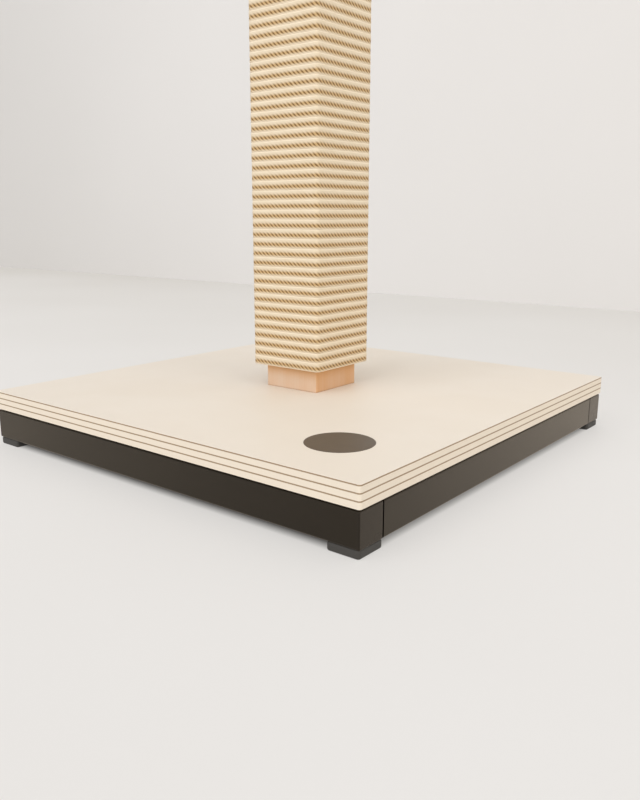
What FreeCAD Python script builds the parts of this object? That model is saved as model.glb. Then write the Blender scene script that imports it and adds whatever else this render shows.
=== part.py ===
import FreeCAD, Part
import math
import os

# A free-standing cat scratching post: a laminated plywood board on a frame of square
# steel tube, with a square timber post at its centre. Rope is wound on a square card
# tube, which slips over the post and rests on a pin, so that a worn cover lifts off.
# Millimetres. The origin is on the floor under the post's centre and +Z is up. The front
# is at -Y; the ends of the front and back rails, closed by caps, show at the sides.

# --- driving dimensions -------------------------------------------------------------

board_side = 400.0
ply_thickness = 15.0
laminate_thickness = 0.8
board_corner_radius = 2.2
board_edge_rounding = 0.3

tube_side = 25.0
tube_wall = 2.0
tube_outer_radius = 1.2
tube_inner_radius = 0.5
frame_inset = 1.0          # from the board's edge in to the frame's outer faces
rail_gap = 0.8             # between a long rail's side and a short rail's end

cap_head_thickness = 2.0
cap_head_rounding = 0.9
cap_plug_depth = 9.0
cap_plug_wall = 2.0

foot_side = 25.2
foot_height = 6.2
foot_inset = 0.3           # from the frame's outer faces in to the foot
foot_corner_radius = 2.4
foot_rounding = 1.5        # above, where it leaves a groove under the tube, and below
foot_recess_radius = 4.6
foot_recess_depth = 3.6

tape_thickness = 1.3
tape_width = 16.0
tape_inset = 3.0           # from the frame's outer faces in to the tape
tape_end_gap = 0.5

bracket_leg = 30.0
bracket_height = 16.0
bracket_thickness = 2.5
bracket_inner_radius = 2.0
bracket_hole_from_corner = 18.0

board_screw_spread = 110.0  # from the middle of a rail out to each of its board screws
access_hole_radius = 4.6

badge_radius = 25.0
badge_from_edge = 62.5
badge_proud = 0.1

post_side = 58.0
post_edge_radius = 2.0
post_top_rounding = 1.5
post_height = 615.7

plate_side = 90.0
plate_thickness = 3.0
plate_corner_radius = 8.0
post_screw_spread = 16.0    # from the post's centre line, along X and along Y
post_screw_length = 60.0
post_screw_radius = 3.0
post_screw_head_radius = 6.0

dowel_radius = 4.0
dowel_length = 28.0
dowel_in_post = 19.0
dowel_spread = 20.0
dowel_chamfer = 1.0

rope_diameter = 7.5
rope_pitch = 8.0
rope_rows = 72
rows_per_length = 24        # the cover is wound with three lengths of rope
rope_above_board = 20.65    # bare timber under the lowest row
rope_end_run = 20.0         # from a corner to the cut end of a length of rope

liner_clearance = 0.3       # between the post's faces and the card tube
liner_wall = 2.0
liner_inner_radius = 0.4
liner_outer_radius = 0.9
liner_to_rope = 0.1
liner_margin = 1.0          # the card stops this far short of the first and last row

pin_radius = 3.0
pin_above_liner_end = 6.5
pin_short_of_liner_face = 0.5
notch_clearance = 0.3

fit_gap = 0.05              # each side, round screws, dowels, plugs and the badge
hole_extra_depth = 0.5

small_screw_radius = 2.0
small_screw_head_radius = 3.8
small_screw_head_height = 2.6
foot_screw_length = 10.0
bracket_screw_length = 10.0
board_screw_length = 13.0

# --- levels and places that follow from them ------------------------------------------

frame_half = board_side / 2 - frame_inset
rail_line = frame_half - tube_side / 2
frame_inner_half = frame_half - tube_side
foot_line = frame_half - foot_inset - foot_side / 2

frame_bottom_z = foot_height
frame_top_z = frame_bottom_z + tube_side
frame_mid_z = frame_bottom_z + tube_side / 2
board_bottom_z = frame_top_z + tape_thickness
ply_top_z = board_bottom_z + ply_thickness
deck_z = ply_top_z + laminate_thickness
post_top_z = deck_z + post_height
post_half = post_side / 2

liner_inner_half = post_half + liner_clearance
liner_outer_half = liner_inner_half + liner_wall
rope_radius = rope_diameter / 2
rope_line_half = liner_outer_half + liner_to_rope + rope_radius
rope_bend_radius = liner_outer_radius + liner_to_rope + rope_radius

first_row_z = deck_z + rope_above_board + rope_radius
last_row_z = first_row_z + (rope_rows - 1) * rope_pitch
liner_bottom_z = first_row_z - rope_radius + liner_margin
liner_top_z = last_row_z + rope_radius - liner_margin
pin_z = liner_bottom_z + pin_above_liner_end

badge_line = board_side / 2 - badge_from_edge

# --- small helpers --------------------------------------------------------------------


def vec(x, y, z=0.0):
    return FreeCAD.Vector(x, y, z)


up = vec(0, 0, 1)
origin = vec(0, 0, 0)


def rounded_bar(side_x, side_y, length, radius):
    # a bar along +Z from z = 0, its section a rectangle with rounded corners
    hx, hy = side_x / 2, side_y / 2
    diagonal = radius * (1 - math.sqrt(0.5))
    edges = []
    corners = [(hx, -hy), (hx, hy), (-hx, hy), (-hx, -hy)]
    for i, (cx, cy) in enumerate(corners):
        sx, sy = math.copysign(1, cx), math.copysign(1, cy)
        on_x_side = vec(cx, cy - sy * radius)
        on_y_side = vec(cx - sx * radius, cy)
        middle = vec(cx - sx * diagonal, cy - sy * diagonal)
        first, last = (on_y_side, on_x_side) if i % 2 == 0 else (on_x_side, on_y_side)
        edges.append(Part.Arc(first, middle, last).toShape())
    loop = []
    for i, arc in enumerate(edges):
        following = edges[(i + 1) % len(edges)]
        start = arc.Vertexes[-1].Point
        end = following.Vertexes[0].Point
        loop += [arc, Part.LineSegment(start, end).toShape()]
    return Part.Face(Part.Wire(loop)).extrude(up * length)


def edges_at_height(shape, z):
    return [e for e in shape.Edges if all(abs(v.Point.z - z) < 1e-4 for v in e.Vertexes)]


def lay_along_x(shape):
    return shape.rotated(origin, vec(0, 1, 0), 90)


def turned(shape, degrees):
    return shape.rotated(origin, up, degrees)


def hole(radius, x, y, low_z, high_z):
    return Part.makeCylinder(radius, high_z - low_z, vec(x, y, low_z))


def cross_recess(radius, depth):
    # opens downwards at z = 0
    width = radius * 0.28
    bar = Part.makeBox(2 * radius * 0.6, width, depth, vec(-radius * 0.6, -width / 2, 0))
    return bar.fuse(turned(bar, 90))


def pan_head_screw(length):
    # tip up, with the seat of its head at z = 0
    head = Part.makeCylinder(small_screw_head_radius, small_screw_head_height,
                             vec(0, 0, -small_screw_head_height))
    head = head.makeFillet(small_screw_head_height * 0.4,
                           edges_at_height(head, -small_screw_head_height))
    tip_length = 1.5 * small_screw_radius
    shank = Part.makeCylinder(small_screw_radius, length - tip_length)
    tip = Part.makeCone(small_screw_radius, 0.3 * small_screw_radius, tip_length,
                        vec(0, 0, length - tip_length))
    recess = cross_recess(small_screw_head_radius, small_screw_head_height * 0.6)
    recess.translate(vec(0, 0, -small_screw_head_height))
    return head.fuse([shank, tip]).cut(recess).removeSplitter()


def countersunk_screw():
    # tip up, with the flat of its head at z = 0
    head = Part.makeCone(post_screw_head_radius, post_screw_radius, plate_thickness)
    tip_length = 2 * post_screw_radius
    shank = Part.makeCylinder(post_screw_radius,
                              post_screw_length - plate_thickness - tip_length,
                              vec(0, 0, plate_thickness))
    tip = Part.makeCone(post_screw_radius, 0.25 * post_screw_radius, tip_length,
                        vec(0, 0, post_screw_length - tip_length))
    recess = cross_recess(post_screw_head_radius * 0.8, plate_thickness * 0.6)
    return head.fuse([shank, tip]).cut(recess).removeSplitter()


def copies(shape, places):
    solids = []
    for place in places:
        piece = shape.copy()
        piece.translate(vec(*place))
        solids.append(piece)
    return Part.makeCompound(solids)


def write(name, shape):
    shape.exportStep("parts/" + name + ".step")
    box = shape.BoundBox
    print("%-22s solids %2d  volume %10.1f  x %7.1f %7.1f  y %7.1f %7.1f  z %6.1f %6.1f  valid %s"
          % (name, len(shape.Solids), shape.Volume, box.XMin, box.XMax,
             box.YMin, box.YMax, box.ZMin, box.ZMax, shape.isValid()))


# --- places of the fasteners ----------------------------------------------------------

square_corners = [(1, -1), (1, 1), (-1, 1), (-1, -1)]
corner_names = {(1, -1): "front_right", (1, 1): "back_right",
                (-1, 1): "back_left", (-1, -1): "front_left"}

foot_places = [(sx * foot_line, sy * foot_line) for sx, sy in square_corners]
board_screw_places = []
for along in (-board_screw_spread, board_screw_spread):
    for side in (-rail_line, rail_line):
        board_screw_places += [(along, side), (side, along)]
post_screw_places = [(sx * post_screw_spread, sy * post_screw_spread)
                     for sx, sy in square_corners]
dowel_places = [(0, -dowel_spread), (0, dowel_spread)]
dowel_bottom_z = deck_z + dowel_in_post - dowel_length
dowel_top_z = deck_z + dowel_in_post

# --- feet -----------------------------------------------------------------------------


def foot():
    pad = rounded_bar(foot_side, foot_side, foot_height, foot_corner_radius)
    pad = pad.makeFillet(foot_rounding, edges_at_height(pad, 0) + edges_at_height(pad, foot_height))
    pad = pad.cut(hole(foot_recess_radius, 0, 0, -1, foot_recess_depth))
    return pad.cut(hole(small_screw_radius + fit_gap, 0, 0, 0, foot_height + 1))


for corner in square_corners:
    piece = foot()
    piece.translate(vec(corner[0] * foot_line, corner[1] * foot_line))
    write("foot_" + corner_names[corner], piece)

write("foot_screws", copies(pan_head_screw(foot_screw_length),
                            [(x, y, foot_recess_depth) for x, y in foot_places]))

# --- tube frame -----------------------------------------------------------------------
# The front and back rails run the full width and are closed by caps. The two side rails
# stand between them with a hair's gap, held by an angle bracket in each inside corner.


def square_tube(length):
    # along X, its middle at the origin
    inner_side = tube_side - 2 * tube_wall
    outside = rounded_bar(tube_side, tube_side, length, tube_outer_radius)
    inside = rounded_bar(inner_side, inner_side, length, tube_inner_radius)
    tube = outside.cut(inside)
    tube.translate(vec(0, 0, -length / 2))
    return lay_along_x(tube)


def drill_for_board_screws(tube):
    # a clearance hole in the top wall, and a way in for the head through the bottom wall
    half = tube_side / 2
    for along in (-board_screw_spread, board_screw_spread):
        tube = tube.cut(hole(small_screw_radius + fit_gap, along, 0, 0, half + 1))
        tube = tube.cut(hole(access_hole_radius, along, 0, -half - 1, 0))
    return tube


def drill_for_brackets(tube, along):
    # holes in the wall that faces +Y, towards the middle of the frame
    for x in (-along, along):
        drill = Part.makeCylinder(small_screw_radius + fit_gap, tube_side, vec(x, 0, 0),
                                  vec(0, 1, 0))
        tube = tube.cut(drill)
    return tube


def long_rail():
    tube = square_tube(2 * (frame_half - cap_head_thickness))
    tube = drill_for_brackets(drill_for_board_screws(tube),
                              frame_inner_half - bracket_hole_from_corner)
    for x in (-foot_line, foot_line):
        foot_hole_y = rail_line - foot_line
        tube = tube.cut(hole(small_screw_radius + fit_gap, x, foot_hole_y, -tube_side, 0))
    return tube


def short_rail():
    tube = square_tube(2 * (frame_inner_half - rail_gap))
    return drill_for_brackets(drill_for_board_screws(tube),
                              frame_inner_half - bracket_hole_from_corner)


for name, rail, degrees in [("frame_rail_front", long_rail(), 0),
                            ("frame_rail_right", short_rail(), 90),
                            ("frame_rail_back", long_rail(), 180),
                            ("frame_rail_left", short_rail(), 270)]:
    rail.translate(vec(0, -rail_line, frame_mid_z))
    write(name, turned(rail, degrees))


def end_cap():
    # its outer face looks along +X, at x = 0
    plug_side = tube_side - 2 * tube_wall - 2 * fit_gap
    head = rounded_bar(tube_side, tube_side, cap_head_thickness, tube_outer_radius)
    head = head.makeFillet(cap_head_rounding, edges_at_height(head, cap_head_thickness))
    plug = rounded_bar(plug_side, plug_side, cap_plug_depth, 2 * tube_inner_radius)
    pocket_side = plug_side - 2 * cap_plug_wall
    pocket = rounded_bar(pocket_side, pocket_side, cap_plug_depth, tube_inner_radius)
    plug = plug.cut(pocket)
    plug.translate(vec(0, 0, -cap_plug_depth))
    cap = head.fuse(plug).removeSplitter()
    cap.translate(vec(0, 0, -cap_head_thickness))
    return lay_along_x(cap)


for corner in square_corners:
    cap = end_cap()
    if corner[0] < 0:
        cap = turned(cap, 180)
    cap.translate(vec(corner[0] * frame_half, corner[1] * rail_line, frame_mid_z))
    write("end_cap_" + corner_names[corner], cap)

# --- corner brackets ------------------------------------------------------------------


def corner_bracket():
    # in the front right inside corner of the frame
    c = frame_inner_half
    t = bracket_thickness
    low_z = frame_mid_z - bracket_height / 2
    outline = [vec(c, -c), vec(c, -c + bracket_leg), vec(c - t, -c + bracket_leg),
               vec(c - t, -c + t), vec(c - bracket_leg, -c + t), vec(c - bracket_leg, -c)]
    angle = Part.Face(Part.makePolygon(outline + outline[:1])).extrude(up * bracket_height)
    inner = [e for e in angle.Edges
             if all((v.Point - vec(c - t, -c + t, v.Point.z)).Length < 1e-4
                    for v in e.Vertexes)]
    angle = angle.makeFillet(bracket_inner_radius, inner)
    angle.translate(vec(0, 0, low_z))
    for screw in bracket_screws():
        drill = Part.makeCylinder(small_screw_radius + fit_gap, 4 * t,
                                  screw[0] - screw[1] * t, screw[1])
        angle = angle.cut(drill)
    return angle


def bracket_screws():
    # the seat of each head on the front right bracket, and the way its tip points
    c = frame_inner_half
    along = c - bracket_hole_from_corner
    seat = c - bracket_thickness
    return [(vec(along, -seat, frame_mid_z), vec(0, -1, 0)),
            (vec(seat, -along, frame_mid_z), vec(1, 0, 0))]


for i, corner in enumerate(square_corners):
    write("corner_bracket_" + corner_names[corner], turned(corner_bracket(), 90 * i))

sideways_screws = []
for i in range(len(square_corners)):
    for seat, way in bracket_screws():
        screw = pan_head_screw(bracket_screw_length)
        screw.Placement = FreeCAD.Placement(seat, FreeCAD.Rotation(up, way))
        sideways_screws.append(turned(screw, 90 * i))
write("bracket_screws", Part.makeCompound(sideways_screws))

# --- tape -----------------------------------------------------------------------------
# A rubber tape on each rail stops board and frame from rattling. Seen from outside it is
# the dark line under the board.

tape_outer = frame_half - tape_inset
tape_inner = tape_outer - tape_width
long_tape = Part.makeBox(2 * tape_outer, tape_width, tape_thickness,
                         vec(-tape_outer, -tape_outer, frame_top_z))
short_tape_half = tape_inner - tape_end_gap
short_tape = Part.makeBox(2 * short_tape_half, tape_width, tape_thickness,
                          vec(-short_tape_half, -tape_outer, frame_top_z))
tapes = []
for i, tape in enumerate([long_tape, short_tape, long_tape, short_tape]):
    for along in (-board_screw_spread, board_screw_spread):
        tape = tape.cut(hole(small_screw_radius + fit_gap, along, -rail_line,
                             frame_top_z - 1, board_bottom_z + 1))
    tapes.append(turned(tape, 90 * i))
write("rail_tape", Part.makeCompound(tapes))

# --- board ----------------------------------------------------------------------------

ply = rounded_bar(board_side, board_side, ply_thickness, board_corner_radius)
ply = ply.makeFillet(board_edge_rounding, edges_at_height(ply, 0))
ply.translate(vec(0, 0, board_bottom_z))
laminate = rounded_bar(board_side, board_side, laminate_thickness, board_corner_radius)
laminate = laminate.makeFillet(board_edge_rounding,
                               edges_at_height(laminate, laminate_thickness))
laminate.translate(vec(0, 0, ply_top_z))

board_screw_seat_z = frame_top_z - tube_wall
board_screw_top_z = board_screw_seat_z + board_screw_length + hole_extra_depth
for x, y in board_screw_places:
    ply = ply.cut(hole(small_screw_radius + fit_gap, x, y, board_bottom_z - 1, board_screw_top_z))
for x, y in post_screw_places:
    drill = hole(post_screw_radius + fit_gap, x, y, board_bottom_z - 1, deck_z + 1)
    ply, laminate = ply.cut(drill), laminate.cut(drill)
for x, y in dowel_places:
    drill = hole(dowel_radius + fit_gap, x, y, dowel_bottom_z - hole_extra_depth, deck_z + 1)
    ply, laminate = ply.cut(drill), laminate.cut(drill)
laminate = laminate.cut(hole(badge_radius + fit_gap, badge_line, -badge_line,
                             ply_top_z - 1, deck_z + 1))
write("base_board", ply)
write("top_laminate", laminate)

# a bare inlaid disc, near the front right corner
badge = hole(badge_radius, badge_line, -badge_line, ply_top_z, deck_z + badge_proud)
write("badge_disc", badge)

write("board_screws", copies(pan_head_screw(board_screw_length),
                             [(x, y, board_screw_seat_z) for x, y in board_screw_places]))

# --- post and what fastens it ---------------------------------------------------------

timber = rounded_bar(post_side, post_side, post_height, post_edge_radius)
timber = timber.makeFillet(post_top_rounding, edges_at_height(timber, post_height))
timber.translate(vec(0, 0, deck_z))
plate_bottom_z = board_bottom_z - plate_thickness
screw_tip_z = plate_bottom_z + post_screw_length
for x, y in post_screw_places:
    timber = timber.cut(hole(post_screw_radius + fit_gap, x, y, deck_z - 1,
                             screw_tip_z + hole_extra_depth))
for x, y in dowel_places:
    timber = timber.cut(hole(dowel_radius + fit_gap, x, y, deck_z - 1,
                             dowel_top_z + hole_extra_depth))
timber = timber.cut(Part.makeCylinder(pin_radius + fit_gap, 2 * post_side,
                                      vec(-post_side, 0, pin_z), vec(1, 0, 0)))
write("post", timber)

plate = rounded_bar(plate_side, plate_side, plate_thickness, plate_corner_radius)
countersink = Part.makeCone(post_screw_head_radius + fit_gap, post_screw_radius + fit_gap,
                            plate_thickness)
for x, y in post_screw_places:
    cutter = countersink.copy()
    cutter.translate(vec(x, y))
    plate = plate.cut(cutter)
plate.translate(vec(0, 0, plate_bottom_z))
write("post_plate", plate)

write("post_screws", copies(countersunk_screw(),
                            [(x, y, plate_bottom_z) for x, y in post_screw_places]))

dowel = Part.makeCylinder(dowel_radius, dowel_length)
dowel = dowel.makeChamfer(dowel_chamfer, edges_at_height(dowel, 0)
                          + edges_at_height(dowel, dowel_length))
write("post_dowels", copies(dowel, [(x, y, dowel_bottom_z) for x, y in dowel_places]))

pin_half = liner_outer_half - pin_short_of_liner_face
pin = Part.makeCylinder(pin_radius, 2 * pin_half, vec(-pin_half, 0, pin_z), vec(1, 0, 0))
write("locating_pin", pin)

# --- the lift-off cover ---------------------------------------------------------------

liner_length = liner_top_z - liner_bottom_z
liner = rounded_bar(2 * liner_outer_half, 2 * liner_outer_half, liner_length,
                    liner_outer_radius)
liner = liner.cut(rounded_bar(2 * liner_inner_half, 2 * liner_inner_half, liner_length,
                              liner_inner_radius))
liner.translate(vec(0, 0, liner_bottom_z))
notch_radius = pin_radius + notch_clearance
notch = Part.makeCylinder(notch_radius, 2 * post_side, vec(-post_side, 0, pin_z),
                          vec(1, 0, 0))
notch = notch.fuse(Part.makeBox(2 * post_side, 2 * notch_radius, pin_z - liner_bottom_z + 1,
                                vec(-post_side, -notch_radius, liner_bottom_z - 1)))
liner = liner.cut(notch.removeSplitter())
write("sleeve_liner", liner)

# The rope lies level on the front and right faces and climbs half a row's pitch on each
# of the other two. Its centre line is straight runs joined by a tangent arc at each edge.


def row_z(row):
    return first_row_z + (row - 1) * rope_pitch


def edge_points(row):
    # the centre line's corners in one turn: front left, front right, back right, back left
    c = rope_line_half
    z = row_z(row)
    return [vec(-c, -c, z), vec(c, -c, z), vec(c, c, z), vec(-c, c, z + rope_pitch / 2)]


def cut_point(corner, neighbour):
    # where a length of rope is cut, on the run between two corners
    return corner + (neighbour - corner).normalize() * rope_end_run


def route(first_row, last_row):
    # a length starts on the left face; the last one ends on the back face
    first_corner = edge_points(first_row)[0]
    points = [cut_point(first_corner, edge_points(first_row - 1)[3])]
    for row in range(first_row, last_row + 1):
        points += edge_points(row)
    if last_row == rope_rows:
        back_left = points.pop()
        points.append(cut_point(points[-1], back_left))
    else:
        points.append(cut_point(edge_points(last_row + 1)[0], points[-1]))
    return points


def centre_line(points):
    edges = []
    start = points[0]
    for before, corner, after in zip(points, points[1:], points[2:]):
        way_in = (corner - before).normalize()
        way_out = (after - corner).normalize()
        turn = way_in.getAngle(way_out)
        reach = rope_bend_radius * math.tan(turn / 2)
        arc_start = corner - way_in * reach
        arc_end = corner + way_out * reach
        inwards = (way_out - way_in).normalize()
        centre = corner + inwards * (rope_bend_radius / math.cos(turn / 2))
        arc_middle = centre - inwards * rope_bend_radius
        edges.append(Part.LineSegment(start, arc_start).toShape())
        edges.append(Part.Arc(arc_start, arc_middle, arc_end).toShape())
        start = arc_end
    edges.append(Part.LineSegment(start, points[-1]).toShape())
    return Part.Wire(edges)


def wound_rope(line):
    start_edge = line.Edges[0]
    way = start_edge.tangentAt(start_edge.FirstParameter)
    section = Part.Wire([Part.makeCircle(rope_radius, line.Edges[0].Vertexes[0].Point, way)])
    return line.makePipeShell([section], True, False)


def least_gap(line):
    # between each point of the rope and the turn above it, less the rope's diameter
    step = 1.0
    turn_length = 8 * (rope_line_half - rope_bend_radius) + 2 * math.pi * rope_bend_radius
    points = line.discretize(Distance=step)
    one_turn = int(turn_length / step)
    window = int(3 * rope_diameter / step)
    nearest = rope_pitch * 2
    for i, point in enumerate(points):
        for other in points[i + one_turn - window:i + one_turn + window]:
            nearest = min(nearest, point.distanceToPoint(other))
    return nearest - rope_diameter


length_names = ["rope_lower", "rope_middle", "rope_upper"]
for i, name in enumerate(length_names):
    first = 1 + i * rows_per_length
    line = centre_line(route(first, first + rows_per_length - 1))
    tube = wound_rope(line)
    write(name, tube)
    section_area = math.pi * rope_radius ** 2
    print("  length %.1f mm, volume over section times length %.5f, least gap %.3f mm, "
          "tightest bend %.2f mm" % (line.Length, tube.Volume / (section_area * line.Length),
                                     least_gap(line), rope_bend_radius))
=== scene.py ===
import math

import bpy
import numpy as np
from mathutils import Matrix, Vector


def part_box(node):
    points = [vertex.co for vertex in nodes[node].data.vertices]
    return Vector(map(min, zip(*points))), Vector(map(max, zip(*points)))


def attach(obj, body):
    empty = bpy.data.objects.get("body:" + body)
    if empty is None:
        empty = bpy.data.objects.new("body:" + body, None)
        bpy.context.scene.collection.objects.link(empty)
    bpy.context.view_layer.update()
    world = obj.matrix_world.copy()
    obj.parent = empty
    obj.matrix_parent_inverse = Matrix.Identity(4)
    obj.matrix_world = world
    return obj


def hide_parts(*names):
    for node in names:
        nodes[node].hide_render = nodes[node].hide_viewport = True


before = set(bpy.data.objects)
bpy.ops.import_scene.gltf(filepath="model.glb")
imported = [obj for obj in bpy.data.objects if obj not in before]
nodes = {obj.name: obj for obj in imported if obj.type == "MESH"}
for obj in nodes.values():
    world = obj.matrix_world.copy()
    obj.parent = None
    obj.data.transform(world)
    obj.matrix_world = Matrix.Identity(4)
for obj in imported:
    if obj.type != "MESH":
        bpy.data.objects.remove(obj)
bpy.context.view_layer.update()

millimetre = 0.001


# camera, where the photograph was taken from

cameraSetup = {
    "place": (0.4475, -0.5467, 0.1991),  # solved from the board's edges
    "azimuth": 38.654,
    "elevation": 13.27,
    "lens": 35.0,
    "sensor": 36.0,
}


def makeCamera(setup):
    turn = math.radians(setup["azimuth"])
    tilt = math.radians(setup["elevation"])
    back = Vector((math.sin(turn) * math.cos(tilt), -math.cos(turn) * math.cos(tilt), math.sin(tilt)))
    lensData = bpy.data.cameras.new("photoCamera")
    lensData.lens = setup["lens"]
    lensData.sensor_width = setup["sensor"]
    eye = bpy.data.objects.new("photoCamera", lensData)
    eye.location = setup["place"]
    eye.rotation_mode = "QUATERNION"
    eye.rotation_quaternion = (-back).to_track_quat("-Z", "Y")
    bpy.context.scene.collection.objects.link(eye)
    bpy.context.scene.camera = eye


makeCamera(cameraSetup)
print("camera placed")


# helpers for node materials

noiseMiddle = (0.3, 0.7)


def addNode(tree, kind, inputs=None, **settings):
    made = tree.nodes.new("ShaderNode" + kind)
    for key, value in settings.items():
        setattr(made, key, value)
    for key, value in (inputs or {}).items():
        if isinstance(value, bpy.types.NodeSocket):
            tree.links.new(value, made.inputs[key])
        else:
            made.inputs[key].default_value = value
    return made


def doMath(tree, operation, first, second=0.0, clamp=False):
    return addNode(tree, "Math", {0: first, 1: second}, operation=operation, use_clamp=clamp).outputs[0]


def weighted(tree, *parts):
    # the sum of some values, each times its share
    total = None
    for value, share in parts:
        scaled = doMath(tree, "MULTIPLY", value, share)
        total = scaled if total is None else doMath(tree, "ADD", total, scaled)
    return total


def spread(tree, value, low, high, newLow=0.0, newHigh=1.0, smooth=False):
    kind = "SMOOTHSTEP" if smooth else "LINEAR"
    values = {"Value": value, "From Min": low, "From Max": high, "To Min": newLow, "To Max": newHigh}
    return addNode(tree, "MapRange", values, interpolation_type=kind).outputs["Result"]


def mixColour(tree, factor, first, second):
    made = addNode(tree, "Mix", {"Factor": factor}, data_type="RGBA")
    for key, value in ((6, first), (7, second)):
        if isinstance(value, bpy.types.NodeSocket):
            tree.links.new(value, made.inputs[key])
        else:
            made.inputs[key].default_value = (*value, 1.0)
    return made.outputs[2]


def stretched(tree, position, amounts):
    return addNode(tree, "VectorMath", {0: position, 1: amounts}, operation="MULTIPLY").outputs[0]


def noise(tree, position, scale, detail=2.0, roughness=0.5):
    values = {"Vector": position, "Scale": scale, "Detail": detail, "Roughness": roughness}
    return addNode(tree, "TexNoise", values).outputs["Fac"]


def evened(tree, value, low=0.0, high=1.0):
    # a noise keeps mostly to its middle, which is drawn out here to fill a range
    return spread(tree, value, *noiseMiddle, low, high)


def bump(tree, height, strength, distance):
    values = {"Height": height, "Strength": strength, "Distance": distance}
    return addNode(tree, "Bump", values).outputs["Normal"]


def startMaterial(name, **values):
    material = bpy.data.materials.new(name)
    material.use_nodes = True
    tree = material.node_tree
    tree.nodes.clear()
    surface = addNode(tree, "BsdfPrincipled", values)
    output = addNode(tree, "OutputMaterial")
    tree.links.new(surface.outputs["BSDF"], output.inputs["Surface"])
    position = addNode(tree, "TexCoord").outputs["Object"]
    return material, tree, surface, position


def connect(tree, surface, **outputs):
    names = {"colour": "Base Color", "roughness": "Roughness", "normal": "Normal"}
    for key, value in outputs.items():
        tree.links.new(value, surface.inputs[names[key]])


def useGroup(tree, group, **inputs):
    made = addNode(tree, "Group", node_tree=group)
    for key, value in inputs.items():
        name = key[0].upper() + key[1:]
        if isinstance(value, bpy.types.NodeSocket):
            tree.links.new(value, made.inputs[name])
        else:
            made.inputs[name].default_value = value
    return made.outputs


def startGroup(name, inputs, outputs):
    group = bpy.data.node_groups.new(name, "ShaderNodeTree")
    for label, kind in inputs:
        group.interface.new_socket(label, in_out="INPUT", socket_type="NodeSocket" + kind)
    for label in outputs:
        group.interface.new_socket(label, in_out="OUTPUT", socket_type="NodeSocketFloat")
    entry = group.nodes.new("NodeGroupInput")
    leave = group.nodes.new("NodeGroupOutput")
    return group, entry.outputs, leave.inputs


# effects that several materials share

fineSkin = {
    "coarser": 0.31,                # scale of the coarse specks and of the patches, next to the fine
    "broader": 0.012,
    "speckRange": (0.35, 0.68),
    "patchRange": (0.36, 0.64),
    "heightShares": (0.6, 0.4),     # of fine and of coarse specks
}
woodGrain = {
    "waver": (9.0, 9.0, 4.0),       # how often the fibres waver along each axis
    "waverBy": (0.012, 0.012, 0.0),  # and how far
    "streakPull": (1.0, 1.0, 0.035),  # drawn out along the fibres
    "porePull": (1.0, 1.0, 0.09),
    "figureScale": 0.16,            # next to that of the streaks
    "poreScale": 3.1,
    "poreRange": (0.6, 0.7),
    "figureRange": (0.35, 0.65),
}


def makeSkinGroup():
    # the fine skin of paint, moulding or laminate: specks, broad patches, and a height
    group, given, result = startGroup(
        "fineSkin", [("Position", "Vector"), ("Scale", "Float")], ["Speck", "Patch", "Height"])
    coarseScale = doMath(group, "MULTIPLY", given["Scale"], fineSkin["coarser"])
    broadScale = doMath(group, "MULTIPLY", given["Scale"], fineSkin["broader"])
    fine = noise(group, given["Position"], given["Scale"], 3.0, 0.6)
    coarse = noise(group, given["Position"], coarseScale, 2.0)
    broad = noise(group, given["Position"], broadScale, 3.0)
    height = weighted(group, *zip((fine, coarse), fineSkin["heightShares"]))
    group.links.new(spread(group, fine, *fineSkin["speckRange"]), result["Speck"])
    group.links.new(spread(group, broad, *fineSkin["patchRange"]), result["Patch"])
    group.links.new(height, result["Height"])
    return group


def makeGrainGroup():
    # wood grain that runs along the position's Z: long streaks, and short dark pores
    group, given, result = startGroup(
        "woodGrain", [("Position", "Vector"), ("Scale", "Float")], ["Streak", "Pore", "Figure"])
    waver = noise(group, stretched(group, given["Position"], woodGrain["waver"]), 1.0, 2.0)
    bent = addNode(group, "VectorMath", {0: waver, 1: woodGrain["waverBy"], 2: given["Position"]},
                   operation="MULTIPLY_ADD").outputs[0]
    drawn = stretched(group, bent, woodGrain["streakPull"])
    streak = noise(group, drawn, given["Scale"], 4.0, 0.62)
    figureScale = doMath(group, "MULTIPLY", given["Scale"], woodGrain["figureScale"])
    figure = noise(group, drawn, figureScale, 2.0)
    short = stretched(group, bent, woodGrain["porePull"])
    poreScale = doMath(group, "MULTIPLY", given["Scale"], woodGrain["poreScale"])
    pore = noise(group, short, poreScale, 1.0)
    group.links.new(evened(group, streak), result["Streak"])
    group.links.new(spread(group, pore, *woodGrain["poreRange"]), result["Pore"])
    group.links.new(spread(group, figure, *woodGrain["figureRange"]), result["Figure"])
    return group


skinGroup = makeSkinGroup()
grainGroup = makeGrainGroup()
print("shared effects made")


# painted, moulded and plated finishes

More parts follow.
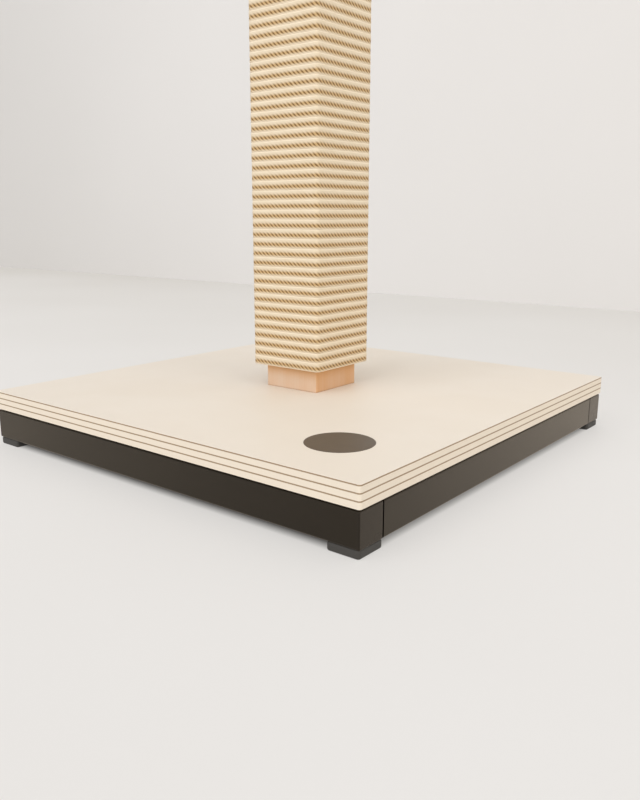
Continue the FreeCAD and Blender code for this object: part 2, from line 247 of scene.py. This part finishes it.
# each has its darker and paler tone, the scale of its specks per metre, its least and most
# roughness, the strength of its relief and, where it shines more, the strength and tint of that
coats = {
    "framePaint": {"dark": (0.0022, 0.0016, 0.0009), "pale": (0.0046, 0.0035, 0.0020),
                   "scale": 1400.0, "rough": (0.15, 0.20), "relief": 0.06, "ior": 1.36,
                   "tint": (1.0, 0.92, 0.82), "lacquer": (1.2, 0.14), "lacquerTint": (1.0, 0.89, 0.74)},
    "capPlastic": {"dark": (0.0032, 0.0024, 0.0013), "pale": (0.0062, 0.0048, 0.0030),
                   "scale": 2300.0, "rough": (0.22, 0.29), "relief": 0.06, "ior": 1.36,
                   "tint": (1.0, 0.93, 0.84), "lacquer": (1.2, 0.2), "lacquerTint": (1.0, 0.89, 0.76)},
    "tapeRubber": {"dark": (0.003, 0.003, 0.003), "pale": (0.006, 0.006, 0.006),
                   "scale": 1500.0, "rough": (0.7, 0.85), "relief": 0.1},
    "footRubber": {"dark": (0.037, 0.034, 0.030), "pale": (0.051, 0.047, 0.042),
                   "scale": 1900.0, "rough": (0.55, 0.7), "relief": 0.2},
    "badgeFinish": {"dark": (0.082, 0.060, 0.040), "pale": (0.108, 0.080, 0.056),
                    "scale": 1700.0, "rough": (0.42, 0.52), "relief": 0.05},
    "zincPlate": {"dark": (0.52, 0.53, 0.55), "pale": (0.68, 0.68, 0.69),
                  "scale": 900.0, "rough": (0.28, 0.42), "relief": 0.05, "metallic": 1.0},
}
coatReliefHeight = 0.3 * millimetre


def makeCoat(name, coat):
    settings = {"Metallic": coat.get("metallic", 0.0), "IOR": coat.get("ior", 1.5),
                "Specular Tint": (*coat.get("tint", (1.0, 1.0, 1.0)), 1.0)}
    if "lacquer" in coat:
        # a thin clear skin, which shines at a glancing look
        settings["Coat Weight"] = 1.0
        settings["Coat IOR"], settings["Coat Roughness"] = coat["lacquer"]
        settings["Coat Tint"] = (*coat["lacquerTint"], 1.0)
    material, tree, surface, position = startMaterial(name, **settings)
    skin = useGroup(tree, skinGroup, position=position, scale=coat["scale"])
    tone = weighted(tree, (skin["Speck"], 0.35), (skin["Patch"], 0.65))
    connect(tree, surface,
            colour=mixColour(tree, tone, coat["dark"], coat["pale"]),
            roughness=spread(tree, skin["Patch"], 0.0, 1.0, *coat["rough"]),
            normal=bump(tree, skin["Height"], coat["relief"], coatReliefHeight))
    return material


finishes = {name: makeCoat(name, coat) for name, coat in coats.items()}
print("coats made:", len(coats))


# the board: laminate on plywood

board = {
    "cream": (0.812, 0.748, 0.665),
    "creamDeep": (0.796, 0.728, 0.640),
    "paleVeneer": (0.825, 0.74, 0.625),
    "deepVeneer": (0.76, 0.655, 0.53),
    "darkLine": (0.37, 0.27, 0.17),
    "darkLineDeep": (0.28, 0.19, 0.115),
    "lineHalf": 0.48 * millimetre,
    "lineSoft": 0.12 * millimetre,
    "lineWander": 0.10 * millimetre,
    "lineWaves": (60.0, 60.0, 1.0),
    "lineFleck": (900.0, 900.0, 2600.0),
    "skin": 0.16 * millimetre,      # pale surface above the laminate's dark core
    "coreBelow": 0.25 * millimetre,  # how far that core's line reaches into the plywood
    "bands": 3,
    "edgeStreak": (70.0, 70.0, 3200.0),
    "edgeFleck": (650.0, 650.0, 2400.0),
    "underGrain": 260.0,
    "laminateGrain": 1100.0,
    "edgeTones": (0.5, 0.35),       # the most that streaks and flecks deepen the edge
    "underTone": 0.8,
    "plyRough": (0.5, 0.62),
    "plyRelief": (0.12, 0.2 * millimetre),
    "laminateRough": (0.42, 0.5),
    "laminateRelief": (0.05, 0.2 * millimetre),
}
plyLow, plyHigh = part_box("base_board")
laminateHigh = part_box("top_laminate")[1]
topLineZ = (plyHigh.z - board["coreBelow"] + laminateHigh.z - board["skin"]) / 2
bandStep = (topLineZ - plyLow.z) / board["bands"]


def heightOf(tree, position):
    return addNode(tree, "SeparateXYZ", {0: position}).outputs["Z"]


def sideMask(tree):
    # 1 on upright faces, 0 on level ones
    facing = addNode(tree, "NewGeometry").outputs["Normal"]
    level = doMath(tree, "ABSOLUTE", heightOf(tree, facing))
    return spread(tree, level, 0.55, 0.85, 1.0, 0.0)


def darkLines(tree, position):
    # 1 in the dark line under the surface and in those between the pale bands
    wander = noise(tree, stretched(tree, position, board["lineWaves"]), 1.0, 2.0)
    shift = spread(tree, wander, 0.0, 1.0, -board["lineWander"], board["lineWander"])
    z = doMath(tree, "ADD", heightOf(tree, position), shift)
    low, high = board["lineHalf"] - board["lineSoft"], board["lineHalf"] + board["lineSoft"]
    found = None
    for band in range(board["bands"]):
        away = doMath(tree, "ABSOLUTE", doMath(tree, "SUBTRACT", z, topLineZ - band * bandStep))
        line = spread(tree, away, low, high, 1.0, 0.0, smooth=True)
        found = line if found is None else doMath(tree, "MAXIMUM", found, line)
    return doMath(tree, "MULTIPLY", found, sideMask(tree))


def lineColour(tree, position):
    fleck = noise(tree, stretched(tree, position, board["lineFleck"]), 1.0, 2.0)
    return mixColour(tree, spread(tree, fleck, 0.35, 0.65), board["darkLine"], board["darkLineDeep"])


def makePlyFinish():
    material, tree, surface, position = startMaterial("plyFinish", IOR=1.45)
    # the band's streaks run along the board's edge, and the underside's along X
    parts = addNode(tree, "SeparateXYZ", {0: position}).outputs
    lying = addNode(tree, "CombineXYZ", {"X": parts["Z"], "Y": parts["Y"], "Z": parts["X"]}).outputs[0]
    under = useGroup(tree, grainGroup, position=lying, scale=board["underGrain"])
    streak = noise(tree, stretched(tree, position, board["edgeStreak"]), 1.0, 3.0, 0.6)
    fleck = noise(tree, stretched(tree, position, board["edgeFleck"]), 1.0, 2.0)
    streakTone, fleckTone = board["edgeTones"]
    edgeTone = doMath(tree, "ADD", evened(tree, streak, 0.0, streakTone),
                      spread(tree, fleck, 0.4, 0.75, 0.0, fleckTone))
    underTone = doMath(tree, "MULTIPLY", under["Streak"], board["underTone"])
    tone = addNode(tree, "Mix", {"Factor": sideMask(tree), "A": underTone, "B": edgeTone}).outputs[0]
    pale = mixColour(tree, tone, board["paleVeneer"], board["deepVeneer"])
    connect(tree, surface,
            colour=mixColour(tree, darkLines(tree, position), pale, lineColour(tree, position)),
            roughness=evened(tree, streak, *board["plyRough"]),
            normal=bump(tree, edgeTone, *board["plyRelief"]))
    return material


def makeLaminateFinish():
    material, tree, surface, position = startMaterial("laminateFinish", IOR=1.4)
    skin = useGroup(tree, skinGroup, position=position, scale=board["laminateGrain"])
    tone = weighted(tree, (skin["Patch"], 0.7), (skin["Speck"], 0.3))
    face = mixColour(tree, tone, board["cream"], board["creamDeep"])
    connect(tree, surface,
            colour=mixColour(tree, darkLines(tree, position), face, lineColour(tree, position)),
            roughness=spread(tree, skin["Patch"], 0.0, 1.0, *board["laminateRough"]),
            normal=bump(tree, skin["Height"], *board["laminateRelief"]))
    return material


finishes["plyFinish"] = makePlyFinish()
finishes["laminateFinish"] = makeLaminateFinish()
print("board finishes made")


# timber of the post, dowels and pin, and the card tube

timber = {
    "pale": (0.7285, 0.573, 0.4466),
    "deep": (0.6785, 0.368, 0.169),
    "pore": (0.60, 0.385, 0.235),
    "contactShadow": (0.36, 0.19, 0.10),     # painted contact shadow along the line where it stands on the board
    "contactShadowHeight": millimetre,
    "worn": (0.70, 0.37, 0.14),     # painted warm shade just under the cover's lower end
    "wornBelow": 14.0 * millimetre,
    "wornAbove": 16.0 * millimetre,
    "wornShare": 0.85,
    "contactShadowShare": 0.7,
    "grainScale": 420.0,
    "ringPitch": 2.1 * millimetre,
    "ringWander": 1.6,              # of a ring
    "ringWaves": (60.0, 60.0, 3.0),
    "lateFrom": (0.45, 0.95),       # of a ring, where it deepens and where it ends
    "heart": (-0.055, 0.034),       # the tree's middle lies outside the sawn post
    "streakShare": 0.04,            # how much each thing deepens the tone
    "lateShare": 0.06,
    "figureShare": 0.26,
    "poreShare": 0.06,
    "frontBackTone": 0.16,              # of the front and back faces, and of the right and left faces, painted deeper as shade with warm bounce light
    "sideShadeTone": 0.58,
    "rough": (0.46, 0.6),
    "relief": (0.04, 0.15 * millimetre),
}
card = {
    "pale": (0.40, 0.29, 0.18),
    "deep": (0.28, 0.19, 0.11),
    "fibres": (900.0, 900.0, 1500.0),
    "layers": (3000.0, 3000.0, 90.0),
    "rough": 0.85,
    "relief": (0.25, 0.2 * millimetre),
}


def lateWood(tree, position, parts):
    # 1 where a year's ring is darkest
    offset = addNode(tree, "CombineXYZ", {
        axis: doMath(tree, "SUBTRACT", parts[axis], middle) for axis, middle in zip("XY", timber["heart"])})
    away = addNode(tree, "VectorMath", {0: offset.outputs[0]}, operation="LENGTH").outputs["Value"]
    wander = noise(tree, stretched(tree, position, timber["ringWaves"]), 1.0, 2.0)
    ringsIn = doMath(tree, "ADD", doMath(tree, "DIVIDE", away, timber["ringPitch"]),
                     doMath(tree, "MULTIPLY", wander, timber["ringWander"]))
    ring = doMath(tree, "FRACT", ringsIn)
    lateStart, lateEnd = timber["lateFrom"]
    return doMath(tree, "MULTIPLY", spread(tree, ring, lateStart, lateEnd, 0.0, 1.0, smooth=True),
                  spread(tree, ring, lateEnd, 1.0, 1.0, 0.0))


def wornBand(tree, height):
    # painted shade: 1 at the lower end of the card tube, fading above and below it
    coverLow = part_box("sleeve_liner")[0].z
    bandLow, bandHigh = coverLow - timber["wornBelow"], coverLow + timber["wornAbove"]
    below = spread(tree, height, bandLow, coverLow, 0.0, timber["wornShare"], smooth=True)
    above = spread(tree, height, coverLow, bandHigh, 1.0, 0.0, smooth=True)
    return doMath(tree, "MULTIPLY", below, above)


def makeTimberFinish():
    material, tree, surface, position = startMaterial("timberFinish", IOR=1.45)
    grain = useGroup(tree, grainGroup, position=position, scale=timber["grainScale"])
    parts = addNode(tree, "SeparateXYZ", {0: position}).outputs
    tone = weighted(tree, (grain["Streak"], timber["streakShare"]),
                    (lateWood(tree, position, parts), timber["lateShare"]),
                    (grain["Figure"], timber["figureShare"]))
    # painted shade: the right and left faces are deeper and redder, standing in for shade and warm bounce
    # light, the front and back paler
    aside = [doMath(tree, "ABSOLUTE", parts[axis]) for axis in "XY"]
    sideShade = doMath(tree, "MULTIPLY", doMath(tree, "GREATER_THAN", *aside), sideMask(tree))
    faceTone = spread(tree, sideShade, 0.0, 1.0, timber["frontBackTone"], timber["sideShadeTone"])
    tone = doMath(tree, "ADD", tone, faceTone)
    base = mixColour(tree, tone, timber["pale"], timber["deep"])
    # painted warm shade below the cover
    base = mixColour(tree, wornBand(tree, parts["Z"]), base, timber["worn"])
    # painted contact shadow: darker just above the laminate, where the post stands
    contactShadowTop = laminateHigh.z + timber["contactShadowHeight"]
    contactShadow = spread(tree, parts["Z"], laminateHigh.z, contactShadowTop, timber["contactShadowShare"], 0.0)
    base = mixColour(tree, contactShadow, base, timber["contactShadow"])
    pores = doMath(tree, "MULTIPLY", grain["Pore"], timber["poreShare"])
    height = doMath(tree, "SUBTRACT", doMath(tree, "MULTIPLY", grain["Streak"], 0.5), pores)
    connect(tree, surface,
            colour=mixColour(tree, pores, base, timber["pore"]),
            roughness=spread(tree, grain["Streak"], 0.0, 1.0, *timber["rough"]),
            normal=bump(tree, height, *timber["relief"]))
    return material


def makeCardFinish():
    material, tree, surface, position = startMaterial("cardFinish", Roughness=card["rough"])
    fibres = noise(tree, stretched(tree, position, card["fibres"]), 1.0, 3.0)
    layers = noise(tree, stretched(tree, position, card["layers"]), 1.0, 2.0)
    tone = weighted(tree, (fibres, 0.5), (layers, 0.5))
    connect(tree, surface,
            colour=mixColour(tree, spread(tree, tone, 0.35, 0.65), card["pale"], card["deep"]),
            normal=bump(tree, fibres, *card["relief"]))
    return material


finishes["timberFinish"] = makeTimberFinish()
finishes["cardFinish"] = makeCardFinish()
print("timber and card made")


# rope: seven yarns twisted together, wound on the card tube

rope = {
    "pitch": 8.0 * millimetre,
    "rows": 72,
    "rowsPerLength": 24,
    "diameter": 7.5 * millimetre,
    "endRun": 20.0 * millimetre,
    "cardCornerRadius": 0.9 * millimetre,
    "clearOfCard": 0.1 * millimetre,
    "cardSpaceUsed": 0.8,            # of that, where the rope bulges towards the card
    "pastCard": 1.0 * millimetre,    # the rope starts this far below the card tube's end
    "strands": 7,
    "lay": 30.1 * millimetre,        # one full turn of a strand round the rope
    # place across a strand, depth of the groove beside it, and the groove's painted shade
    "strandShape": [(0.0, 1.0, 1.0), (0.2, 0.4, 0.55), (0.5, 0.0, 0.0), (0.8, 0.4, 0.55)],
    "ringsPerLay": 14,
    "grooveDepth": 0.45 * millimetre,
    "grooveMiddle": -0.26,           # height of the grooves on a row, from -1 to 1
    "grooveHalf": 0.55,
    "grooveFade": 3.0,               # how quickly they open, from the rope's side to its face
    "faceOut": 2.15 * millimetre,    # wound tight, the outer face lies this near the middle
    "cornerRadius": 3.0 * millimetre,  # of that face, drawn over the card's edge
    "plump": 1.12,                   # the rows press on each other, above and below
    "flattened": 0.999,              # of half a pitch, where rows touch
    "flatOut": 0.07,                 # 1 would be round, and the outer face is nearly flat
    "flatUp": 0.90,
    # a little unevenness, so that no two turns are alike: how much, waves along it, where from
    "swells": [(0.010, 61.0, 0.0), (0.008, 143.0, 1.3)],
    "wander": (0.08 * millimetre, 37.0, 0.7),
    "cream": (0.778, 0.665, 0.503),
    "paintedEdgeLight": (0.93, 0.81, 0.63),
    "tan": (0.595, 0.395, 0.180),
    "brown": (0.17, 0.085, 0.018),
    "toneHalf": 0.45,                # how far tan and brown reach up and down from the grooves
    "threads": (2600.0, 2600.0, 130.0),
    "stains": (260.0, 260.0, 34.0),
    "threadTone": (-0.10, 0.12),     # how much each pales or deepens the tan
    "stainTone": (-0.07, 0.07),
    "grooveTone": (0.15, 0.9),       # painted shade in a groove: the groove darkness where brown starts and is full
    "paintedEdgeLightFrom": (0.72, 0.97),      # distance from a row's middle where it starts and is full
    "rough": (0.72, 0.9),
    "relief": (0.4, 0.2 * millimetre),
    "sheen": (0.12, 0.6),
}
ropeRadius = rope["diameter"] / 2
linerLow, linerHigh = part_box("sleeve_liner")
firstRowZ = linerLow.z - rope["pastCard"] + ropeRadius
ropeLine = linerHigh.x + rope["clearOfCard"] + ropeRadius
bendRadius = rope["cardCornerRadius"] + rope["clearOfCard"] + ropeRadius


def rowCorners(row):
    # level on the front and right faces, climbing half a pitch on each of the others
    c = ropeLine
    z = firstRowZ + (row - 1) * rope["pitch"]
    return [Vector((-c, -c, z)), Vector((c, -c, z)), Vector((c, c, z)),
            Vector((-c, c, z + rope["pitch"] / 2))]


def cutPoint(corner, neighbour):
    return corner + (neighbour - corner).normalized() * rope["endRun"]


def ropeCorners(firstRow, lastRow):
    corners = [cutPoint(rowCorners(firstRow)[0], rowCorners(firstRow - 1)[3])]
    for row in range(firstRow, lastRow + 1):
        corners += rowCorners(row)
    if lastRow == rope["rows"]:
        backLeft = corners.pop()
        corners.append(cutPoint(corners[-1], backLeft))
    else:
        corners.append(cutPoint(rowCorners(lastRow + 1)[0], corners[-1]))
    return corners


def ropeSpans(corners):
    # straight runs and the arcs that join them: (length, start, direction, bend direction)
    spans = []
    start = corners[0]
    for before, corner, after in zip(corners, corners[1:], corners[2:]):
        wayIn = (corner - before).normalized()
        wayOut = (after - corner).normalized()
        turn = wayIn.angle(wayOut)
        reach = bendRadius * math.tan(turn / 2)
        inwards = (wayOut - wayIn * wayOut.dot(wayIn)).normalized()
        arcStart = corner - wayIn * reach
        spans.append(((arcStart - start).length, start, wayIn, None))
        spans.append((bendRadius * turn, arcStart, wayIn, inwards))
        start = corner + wayOut * reach
    last = corners[-1] - start
    spans.append((last.length, start, last.normalized(), None))
    return spans


def outerCorner(run, turn):
    # where a run along the rope's outer face has come to, from the start of a corner: the
    # angle turned through, and how far the face stands out past the bend's own radius
    reach = bendRadius + rope["faceOut"]
    flat = reach - rope["cornerRadius"]
    whole = 2 * flat + rope["cornerRadius"] * turn
    near = min(run, whole - run)
    rounded = max(near - flat, 0.0) / rope["cornerRadius"]
    forward = min(near, flat) + rope["cornerRadius"] * math.sin(rounded)
    outward = flat + rope["cornerRadius"] * math.cos(rounded)
    angle = math.atan2(forward, outward)
    return (angle if run < whole / 2 else turn - angle), math.hypot(forward, outward) - reach


def walkRope(spans, step):
    # places on the centre line, evenly spaced along the rope's outer face, so that
    # the twist keeps its pace round the corners
    flat = bendRadius + rope["faceOut"] - rope["cornerRadius"]
    outer = [span[0] if span[3] is None else 2 * flat + rope["cornerRadius"] * span[0] / bendRadius
             for span in spans]
    length = sum(outer)
    count = round(length / step)
    places, directions, swollen = [], [], []
    current, passed = 0, 0.0
    for i in range(count + 1):
        along = length * i / count
        while current < len(spans) - 1 and along > passed + outer[current]:
            passed += outer[current]
            current += 1
        arcLength, start, way, inwards = spans[current]
        run = along - passed
        if inwards is None:
            places.append(start + way * run)
            directions.append(way)
            swollen.append(0.0)
        else:
            angle, extra = outerCorner(run, arcLength / bendRadius)
            places.append(start + way * (bendRadius * math.sin(angle))
                          + inwards * (bendRadius * (1 - math.cos(angle))))
            directions.append(way * math.cos(angle) + inwards * math.sin(angle))
            swollen.append(extra)
    return np.array(places), np.array(directions), np.array(swollen), length


def ropeProfile():
    # angle round the rope, groove depth and groove darkness for each point of the outline
    points = []
    for strand in range(rope["strands"]):
        for place, depth, darkness in rope["strandShape"]:
            points.append((2 * math.pi * (strand + place) / rope["strands"], depth, darkness))
    return np.array(points)


def flattened(value, power):
    return np.sign(value) * np.abs(value) ** power


def wave(along, size, pace, start):
    return size * np.sin(along * pace + start)


def ropeSurface(walk, profile, along):
    # points in rings along the rope, and how high each one lies on its row, from -1 to 1
    places, directions, swollen = walk
    outwards = np.cross(directions, (0.0, 0.0, 1.0))
    outwards /= np.linalg.norm(outwards, axis=1)[:, None]
    upwards = np.cross(outwards, directions)
    reach = ropeRadius * (1.0 + sum(wave(along, *swell) for swell in rope["swells"]))[:, None]
    angles = profile[None, :, 0] - 2 * math.pi * along[:, None] / rope["lay"]
    across, upright = np.cos(angles), np.sin(angles)
    rowLimit = rope["pitch"] / 2 * rope["flattened"]
    up = reach * rope["plump"] * flattened(upright, rope["flatUp"]) + wave(along, *rope["wander"])[:, None]
    up = np.clip(up, -rowLimit, rowLimit)
    # grooves between strands are open on the row's lower half, and pressed shut elsewhere
    fromGrooves = (up / rowLimit - rope["grooveMiddle"]) / rope["grooveHalf"]
    opened = np.clip(1.0 - fromGrooves ** 2, 0.0, 1.0) * np.clip(across * rope["grooveFade"], 0.0, 1.0)
    out = np.where(across > 0, rope["faceOut"], reach) * flattened(across, rope["flatOut"])
    out += swollen[:, None] * np.clip(out / rope["faceOut"], 0.0, 1.0)
    out -= rope["grooveDepth"] * profile[None, :, 1] * opened
    out = np.maximum(out, -(ropeRadius + rope["clearOfCard"] * rope["cardSpaceUsed"]))
    offsets = out[:, :, None] * outwards[:, None, :] + up[:, :, None] * upwards[:, None, :]
    return places[:, None, :] + offsets, up / rowLimit


def ropeFaces(rings, around):
    # four-sided faces between neighbouring rings, and a lid on each end
    first = np.arange(rings - 1)[:, None] * around + np.arange(around)[None, :]
    second = np.arange(rings - 1)[:, None] * around + (np.arange(around)[None, :] + 1) % around
    faces = np.stack([first, first + around, second + around, second], axis=-1).reshape(-1, 4).tolist()
    faces.append(list(range(around)))
    faces.append(list(range((rings - 1) * around, rings * around))[::-1])
    return faces


def makeRope(name, firstRow, lastRow, startAlong):
    *walk, length = walkRope(ropeSpans(ropeCorners(firstRow, lastRow)), rope["lay"] / rope["ringsPerLay"])
    profile = ropeProfile()
    rings, around = len(walk[0]), len(profile)
    along = startAlong + np.linspace(0.0, length, rings)
    points, level = ropeSurface(walk, profile, along)
    mesh = bpy.data.meshes.new(name)
    mesh.from_pydata(points.reshape(-1, 3).tolist(), [], ropeFaces(rings, around))
    mesh.shade_smooth()
    # where a point lies in the untwisted rope, for fibres that follow the strands
    angle = profile[None, :, 0]
    places = [np.cos(angle) * ropeRadius, np.sin(angle) * ropeRadius, along[:, None]]
    fibre = np.stack([np.broadcast_to(part, level.shape) for part in places], axis=-1)
    mesh.attributes.new("fibre", "FLOAT_VECTOR", "POINT").data.foreach_set("vector", fibre.ravel())
    masks = {"crease": np.broadcast_to(profile[None, :, 2], level.shape), "level": level}
    for label, values in masks.items():
        mesh.attributes.new(label, "FLOAT", "POINT").data.foreach_set("value", values.ravel())
    piece = bpy.data.objects.new(name, mesh)
    bpy.context.scene.collection.objects.link(piece)
    return piece, length


def makeRopeFinish():
    sheen = dict(zip(("Sheen Weight", "Sheen Roughness"), rope["sheen"]))
    material, tree, surface, _ = startMaterial("sisalFinish", IOR=1.4, **sheen)
    fibre = addNode(tree, "Attribute", attribute_name="fibre").outputs["Vector"]
    crease = addNode(tree, "Attribute", attribute_name="crease").outputs["Fac"]
    level = addNode(tree, "Attribute", attribute_name="level").outputs["Fac"]
    threads = noise(tree, stretched(tree, fibre, rope["threads"]), 1.0, 3.0, 0.6)
    stain = noise(tree, stretched(tree, fibre, rope["stains"]), 1.0, 2.0)
    # painted shade: tan and brown grooves are deepest below the row's middle, where the row turns away from
    # the light above, and die away above and below; threads and stains vary the tone at random
    away = doMath(tree, "DIVIDE", doMath(tree, "SUBTRACT", level, rope["grooveMiddle"]), rope["toneHalf"])
    bell = doMath(tree, "EXPONENT", doMath(tree, "MULTIPLY", doMath(tree, "MULTIPLY", away, away), -1.0))
    groove = spread(tree, crease, *rope["grooveTone"], smooth=True)
    deepen = doMath(tree, "MULTIPLY", bell, groove)
    tanShare = doMath(tree, "ADD", bell, evened(tree, threads, *rope["threadTone"]), clamp=True)
    tanShare = doMath(tree, "ADD", tanShare, evened(tree, stain, *rope["stainTone"]), clamp=True)
    # painted light: paler where rows touch, lifting the shade in the crevice between rows
    paintedEdgeLight = spread(tree, doMath(tree, "ABSOLUTE", level), *rope["paintedEdgeLightFrom"], smooth=True)
    cream = mixColour(tree, paintedEdgeLight, rope["cream"], rope["paintedEdgeLight"])
    body = mixColour(tree, tanShare, cream, rope["tan"])
    connect(tree, surface,
            colour=mixColour(tree, deepen, body, rope["brown"]),
            roughness=evened(tree, threads, *rope["rough"]),
            normal=bump(tree, threads, *rope["relief"]))
    return material


finishes["sisalFinish"] = makeRopeFinish()
ropeAlong = 0.0
for index, nodeName in enumerate(["rope_lower", "rope_middle", "rope_upper"]):
    firstRow = 1 + index * rope["rowsPerLength"]
    piece, length = makeRope("wound_" + nodeName, firstRow, firstRow + rope["rowsPerLength"] - 1, ropeAlong)
    ropeAlong += length
    piece.data.materials.append(finishes["sisalFinish"])
    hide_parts(nodeName)
    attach(piece, "sleeve")
print("rope wound:", rope["rows"], "turns")


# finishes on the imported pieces

dressing = {
    "framePaint": ["frame_rail_front", "frame_rail_right", "frame_rail_back", "frame_rail_left"],
    "capPlastic": [n for n in nodes if n.startswith("end_cap_")],
    "footRubber": [n for n in nodes if n.startswith("foot_") and n != "foot_screws"],
    "badgeFinish": ["badge_disc"],
    "tapeRubber": ["rail_tape"],
    "zincPlate": ["foot_screws", "bracket_screws", "board_screws", "post_screws", "post_plate"]
                 + [n for n in nodes if n.startswith("corner_bracket_")],
    "plyFinish": ["base_board"],
    "laminateFinish": ["top_laminate"],
    "timberFinish": ["post", "post_dowels", "locating_pin"],
    "cardFinish": ["sleeve_liner"],
}
for finishName, nodeNames in dressing.items():
    for nodeName in nodeNames:
        packed = nodes[nodeName].data
        packed.materials.clear()
        packed.materials.append(finishes[finishName])
print("packed pieces dressed")


# floor, backdrop and light

studio = {
    "floorHalf": 6.0,
    "rough": 0.75,
    "cloudScale": 1.3,              # faint clouds keep floor and backdrop from looking flat
    "cloudDepth": 0.2,
    "wallAway": 1.189,              # where the backdrop meets the floor, behind the post
    "wallTurn": 0.84,
    "wallHeight": 5.0,
    "floorTone": (0.27, 0.265, 0.26),
    "floorGlow": (0.535, 0.525, 0.515),      # it is lit from within, as a light table is
    "floorGlowFar": (0.365, 0.345, 0.315),
    "floorFade": (-0.35, 1.5, 0.0, 0.8),     # where it starts and ends, and how much there
    "fadeSlant": -0.22,
    "shade": (0.001, 0.0125),       # from the frame's faces inwards, where it starts and is full
    "shadeGlow": (0.016, 0.015, 0.014),
    "wallTone": (0.78, 0.765, 0.755),
    "wallToneDeep": (0.695, 0.68, 0.665),
    "wallFade": (-1.0, -2.6, 0.0, 0.8),
    "skyTone": (1.0, 0.99, 0.98),
    "skyFrom": (0.40, -0.75, 0.53),  # the bright side of the sky
    "skyFade": (-0.2, 0.9),
    "skyStrength": (0.265, 1.19),    # away from it, and towards it
    "lampAim": (0.0, 0.0, 0.15),
}
lamps = {
    "keyLamp": {"place": (-0.24, -2.75, 2.3), "size": 2.6, "power": 26.0, "tone": (1.0, 0.985, 0.965)},
    "fillLamp": {"place": (2.95, -0.26, 2.05), "size": 2.6, "power": 12.0, "tone": (1.0, 0.85, 0.58)},
}


def flatPiece(name, corners, material):
    mesh = bpy.data.meshes.new(name)
    mesh.from_pydata(corners, [], [(0, 1, 2, 3)])
    mesh.materials.append(material)
    sheet = bpy.data.objects.new(name, mesh)
    bpy.context.scene.collection.objects.link(sheet)


def seeThroughBehind(tree, surface):
    # clear from its back, so that it never hides the post
    clear = addNode(tree, "BsdfTransparent")
    behind = addNode(tree, "NewGeometry").outputs["Backfacing"]
    oneWay = addNode(tree, "MixShader", {0: behind, 1: surface.outputs["BSDF"], 2: clear.outputs["BSDF"]})
    output = [n for n in tree.nodes if n.type == "OUTPUT_MATERIAL"][0]
    tree.links.new(oneWay.outputs[0], output.inputs["Surface"])


def startStudioFinish(name):
    material, tree, surface, position = startMaterial(name, Roughness=studio["rough"])
    cloud = evened(tree, noise(tree, position, studio["cloudScale"], 2.0), 0.0, studio["cloudDepth"])
    place = addNode(tree, "SeparateXYZ", {0: position}).outputs
    return material, tree, surface, cloud, place


def makeFloor(far):
    material, tree, surface, cloud, place = startStudioFinish("floorFinish")
    across = doMath(tree, "ADD", place["Y"], doMath(tree, "MULTIPLY", place["X"], studio["fadeSlant"]))
    distance = spread(tree, across, *studio["floorFade"])
    glow = mixColour(tree, doMath(tree, "ADD", distance, cloud), studio["floorGlow"], studio["floorGlowFar"])
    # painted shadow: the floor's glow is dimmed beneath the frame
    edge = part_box("frame_rail_right")[1].x
    inside = [doMath(tree, "SUBTRACT", edge, doMath(tree, "ABSOLUTE", place[axis])) for axis in "XY"]
    depth = doMath(tree, "MINIMUM", *inside)
    shade = spread(tree, depth, *studio["shade"])
    glow = mixColour(tree, shade, glow, studio["shadeGlow"])
    tree.links.new(glow, surface.inputs["Emission Color"])
    surface.inputs["Emission Strength"].default_value = 1.0
    surface.inputs["Base Color"].default_value = (*studio["floorTone"], 1.0)
    seeThroughBehind(tree, surface)
    flatPiece("floor", [(-far, -far, 0), (far, -far, 0), (far, far, 0), (-far, far, 0)], material)


def makeBackdrop(far):
    material, tree, surface, cloud, place = startStudioFinish("wallFinish")
    # painted shade: the backdrop darkens towards its left, where less light reaches it
    side = spread(tree, place["X"], *studio["wallFade"], smooth=True)
    connect(tree, surface, colour=mixColour(
        tree, doMath(tree, "ADD", side, cloud), studio["wallTone"], studio["wallToneDeep"]))
    seeThroughBehind(tree, surface)
    slope = math.tan(math.radians(studio["wallTurn"]))
    left, right = studio["wallAway"] - far * slope, studio["wallAway"] + far * slope
    top = studio["wallHeight"]
    flatPiece("backdrop", [(-far, left, 0), (far, right, 0), (far, right, top), (-far, left, top)], material)


def makeLight():
    world = bpy.data.worlds.new("studioSky")
    world.use_nodes = True
    tree = world.node_tree
    sky = tree.nodes["Background"]
    sky.inputs["Color"].default_value = (*studio["skyTone"], 1.0)
    towards = addNode(tree, "TexCoord").outputs["Generated"]
    facing = addNode(tree, "VectorMath", {0: towards, 1: studio["skyFrom"]}, operation="DOT_PRODUCT")
    strength = spread(tree, facing.outputs["Value"], *studio["skyFade"], *studio["skyStrength"],
                      smooth=True)
    tree.links.new(strength, sky.inputs["Strength"])
    bpy.context.scene.world = world
    for name, lamp in lamps.items():
        data = bpy.data.lights.new(name, "AREA")
        data.size = lamp["size"]
        data.energy = lamp["power"]
        data.color = lamp["tone"]
        holder = bpy.data.objects.new(name, data)
        holder.location = lamp["place"]
        holder.rotation_mode = "QUATERNION"
        holder.rotation_quaternion = (Vector(studio["lampAim"]) - holder.location).to_track_quat("-Z", "Y")
        bpy.context.scene.collection.objects.link(holder)


makeFloor(studio["floorHalf"])
makeBackdrop(studio["floorHalf"])
makeLight()
bpy.context.scene.view_settings.view_transform = "Standard"
print("studio lit")
